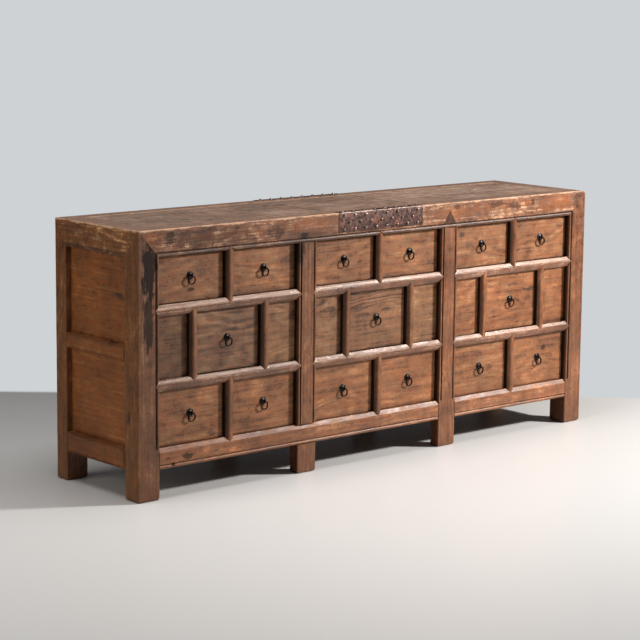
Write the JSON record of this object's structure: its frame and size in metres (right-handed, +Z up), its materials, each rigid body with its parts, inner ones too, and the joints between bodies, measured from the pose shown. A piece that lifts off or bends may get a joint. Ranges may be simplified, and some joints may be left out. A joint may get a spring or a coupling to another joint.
{
  "type": "sideboard",
  "caption": "Long low sideboard of old elm: three bays of small recessed drawers with ring pulls, fixed panels between them, iron straps on the top.",
  "frame": {"origin": "middle of the footprint, on the floor under the legs", "axes": "+X along the length, from the viewer's left to right when facing the drawers; +Y from the front to the back; +Z up"},
  "size_m": [2.06, 0.4726, 0.8823],
  "materials": {
    "frame_wood": "worn oiled elm",
    "drawer_wood": "worn oiled elm",
    "top_wood": "worn greyed elm",
    "inside_wood": "bare wood",
    "iron": "rusted wrought iron"
  },
  "bodies": {
    "carcass": {"post_front_1": "frame_wood", "post_front_2": "frame_wood", "post_front_3": "frame_wood", "post_front_4": "frame_wood", "post_back_1": "frame_wood", "post_back_2": "frame_wood", "post_back_3": "frame_wood", "post_back_4": "frame_wood", "rail_top_front": "frame_wood", "rail_top_back": "frame_wood", "rail_top_left": "frame_wood", "rail_top_right": "frame_wood", "top_board_left": "top_wood", "top_board_middle": "top_wood", "top_board_right": "top_wood", "rail_bottom_front": "frame_wood", "rail_bottom_back": "frame_wood", "rail_bottom_left": "frame_wood", "rail_bottom_right": "frame_wood", "side_panel_left": "frame_wood", "side_panel_right": "frame_wood", "back_boards": "inside_wood", "lattice_left": "frame_wood", "lattice_middle": "frame_wood", "lattice_right": "frame_wood", "housing_left": "inside_wood", "housing_middle": "inside_wood", "housing_right": "inside_wood", "strap_front": "iron", "strap_back": "iron"},
    "drawer_top_1": {"drawer_top_1": "drawer_wood"},
    "ring_top_1": {"ring_top_1": "iron"},
    "drawer_top_2": {"drawer_top_2": "drawer_wood"},
    "ring_top_2": {"ring_top_2": "iron"},
    "drawer_top_3": {"drawer_top_3": "drawer_wood"},
    "ring_top_3": {"ring_top_3": "iron"},
    "drawer_top_4": {"drawer_top_4": "drawer_wood"},
    "ring_top_4": {"ring_top_4": "iron"},
    "drawer_top_5": {"drawer_top_5": "drawer_wood"},
    "ring_top_5": {"ring_top_5": "iron"},
    "drawer_top_6": {"drawer_top_6": "drawer_wood"},
    "ring_top_6": {"ring_top_6": "iron"},
    "drawer_middle_1": {"drawer_middle_1": "drawer_wood"},
    "ring_middle_1": {"ring_middle_1": "iron"},
    "drawer_middle_2": {"drawer_middle_2": "drawer_wood"},
    "ring_middle_2": {"ring_middle_2": "iron"},
    "drawer_middle_3": {"drawer_middle_3": "drawer_wood"},
    "ring_middle_3": {"ring_middle_3": "iron"},
    "drawer_bottom_1": {"drawer_bottom_1": "drawer_wood"},
    "ring_bottom_1": {"ring_bottom_1": "iron"},
    "drawer_bottom_2": {"drawer_bottom_2": "drawer_wood"},
    "ring_bottom_2": {"ring_bottom_2": "iron"},
    "drawer_bottom_3": {"drawer_bottom_3": "drawer_wood"},
    "ring_bottom_3": {"ring_bottom_3": "iron"},
    "drawer_bottom_4": {"drawer_bottom_4": "drawer_wood"},
    "ring_bottom_4": {"ring_bottom_4": "iron"},
    "drawer_bottom_5": {"drawer_bottom_5": "drawer_wood"},
    "ring_bottom_5": {"ring_bottom_5": "iron"},
    "drawer_bottom_6": {"drawer_bottom_6": "drawer_wood"},
    "ring_bottom_6": {"ring_bottom_6": "iron"}
  },
  "joints": [
    {"name": "slide_top_1", "type": "slide", "parent": "carcass", "child": "drawer_top_1", "axis": [0, -1, 0], "range_m": [0, 0.3]},
    {"name": "swing_top_1", "type": "hinge", "parent": "drawer_top_1", "child": "ring_top_1", "pos_m": [-0.81, -0.22, 0.716], "axis": [-1, 0, 0], "range_deg": [-16, 190]},
    {"name": "slide_top_2", "type": "slide", "parent": "carcass", "child": "drawer_top_2", "axis": [0, -1, 0], "range_m": [0, 0.3]},
    {"name": "swing_top_2", "type": "hinge", "parent": "drawer_top_2", "child": "ring_top_2", "pos_m": [-0.506, -0.22, 0.716], "axis": [-1, 0, 0], "range_deg": [-16, 190]},
    {"name": "slide_top_3", "type": "slide", "parent": "carcass", "child": "drawer_top_3", "axis": [0, -1, 0], "range_m": [0, 0.3]},
    {"name": "swing_top_3", "type": "hinge", "parent": "drawer_top_3", "child": "ring_top_3", "pos_m": [-0.152, -0.22, 0.716], "axis": [-1, 0, 0], "range_deg": [-16, 190]},
    {"name": "slide_top_4", "type": "slide", "parent": "carcass", "child": "drawer_top_4", "axis": [0, -1, 0], "range_m": [0, 0.3]},
    {"name": "swing_top_4", "type": "hinge", "parent": "drawer_top_4", "child": "ring_top_4", "pos_m": [0.152, -0.22, 0.716], "axis": [-1, 0, 0], "range_deg": [-16, 190]},
    {"name": "slide_top_5", "type": "slide", "parent": "carcass", "child": "drawer_top_5", "axis": [0, -1, 0], "range_m": [0, 0.3]},
    {"name": "swing_top_5", "type": "hinge", "parent": "drawer_top_5", "child": "ring_top_5", "pos_m": [0.506, -0.22, 0.716], "axis": [-1, 0, 0], "range_deg": [-16, 190]},
    {"name": "slide_top_6", "type": "slide", "parent": "carcass", "child": "drawer_top_6", "axis": [0, -1, 0], "range_m": [0, 0.3]},
    {"name": "swing_top_6", "type": "hinge", "parent": "drawer_top_6", "child": "ring_top_6", "pos_m": [0.81, -0.22, 0.716], "axis": [-1, 0, 0], "range_deg": [-16, 190]},
    {"name": "slide_middle_1", "type": "slide", "parent": "carcass", "child": "drawer_middle_1", "axis": [0, -1, 0], "range_m": [0, 0.3]},
    {"name": "swing_middle_1", "type": "hinge", "parent": "drawer_middle_1", "child": "ring_middle_1", "pos_m": [-0.658, -0.22, 0.4995], "axis": [-1, 0, 0], "range_deg": [-16, 190]},
    {"name": "slide_middle_2", "type": "slide", "parent": "carcass", "child": "drawer_middle_2", "axis": [0, -1, 0], "range_m": [0, 0.3]},
    {"name": "swing_middle_2", "type": "hinge", "parent": "drawer_middle_2", "child": "ring_middle_2", "pos_m": [0, -0.22, 0.4995], "axis": [-1, 0, 0], "range_deg": [-16, 190]},
    {"name": "slide_middle_3", "type": "slide", "parent": "carcass", "child": "drawer_middle_3", "axis": [0, -1, 0], "range_m": [0, 0.3]},
    {"name": "swing_middle_3", "type": "hinge", "parent": "drawer_middle_3", "child": "ring_middle_3", "pos_m": [0.658, -0.22, 0.4995], "axis": [-1, 0, 0], "range_deg": [-16, 190]},
    {"name": "slide_bottom_1", "type": "slide", "parent": "carcass", "child": "drawer_bottom_1", "axis": [0, -1, 0], "range_m": [0, 0.3]},
    {"name": "swing_bottom_1", "type": "hinge", "parent": "drawer_bottom_1", "child": "ring_bottom_1", "pos_m": [-0.81, -0.22, 0.2675], "axis": [-1, 0, 0], "range_deg": [-16, 190]},
    {"name": "slide_bottom_2", "type": "slide", "parent": "carcass", "child": "drawer_bottom_2", "axis": [0, -1, 0], "range_m": [0, 0.3]},
    {"name": "swing_bottom_2", "type": "hinge", "parent": "drawer_bottom_2", "child": "ring_bottom_2", "pos_m": [-0.506, -0.22, 0.2675], "axis": [-1, 0, 0], "range_deg": [-16, 190]},
    {"name": "slide_bottom_3", "type": "slide", "parent": "carcass", "child": "drawer_bottom_3", "axis": [0, -1, 0], "range_m": [0, 0.3]},
    {"name": "swing_bottom_3", "type": "hinge", "parent": "drawer_bottom_3", "child": "ring_bottom_3", "pos_m": [-0.152, -0.22, 0.2675], "axis": [-1, 0, 0], "range_deg": [-16, 190]},
    {"name": "slide_bottom_4", "type": "slide", "parent": "carcass", "child": "drawer_bottom_4", "axis": [0, -1, 0], "range_m": [0, 0.3]},
    {"name": "swing_bottom_4", "type": "hinge", "parent": "drawer_bottom_4", "child": "ring_bottom_4", "pos_m": [0.152, -0.22, 0.2675], "axis": [-1, 0, 0], "range_deg": [-16, 190]},
    {"name": "slide_bottom_5", "type": "slide", "parent": "carcass", "child": "drawer_bottom_5", "axis": [0, -1, 0], "range_m": [0, 0.3]},
    {"name": "swing_bottom_5", "type": "hinge", "parent": "drawer_bottom_5", "child": "ring_bottom_5", "pos_m": [0.506, -0.22, 0.2675], "axis": [-1, 0, 0], "range_deg": [-16, 190]},
    {"name": "slide_bottom_6", "type": "slide", "parent": "carcass", "child": "drawer_bottom_6", "axis": [0, -1, 0], "range_m": [0, 0.3]},
    {"name": "swing_bottom_6", "type": "hinge", "parent": "drawer_bottom_6", "child": "ring_bottom_6", "pos_m": [0.81, -0.22, 0.2675], "axis": [-1, 0, 0], "range_deg": [-16, 190]}
  ]
}
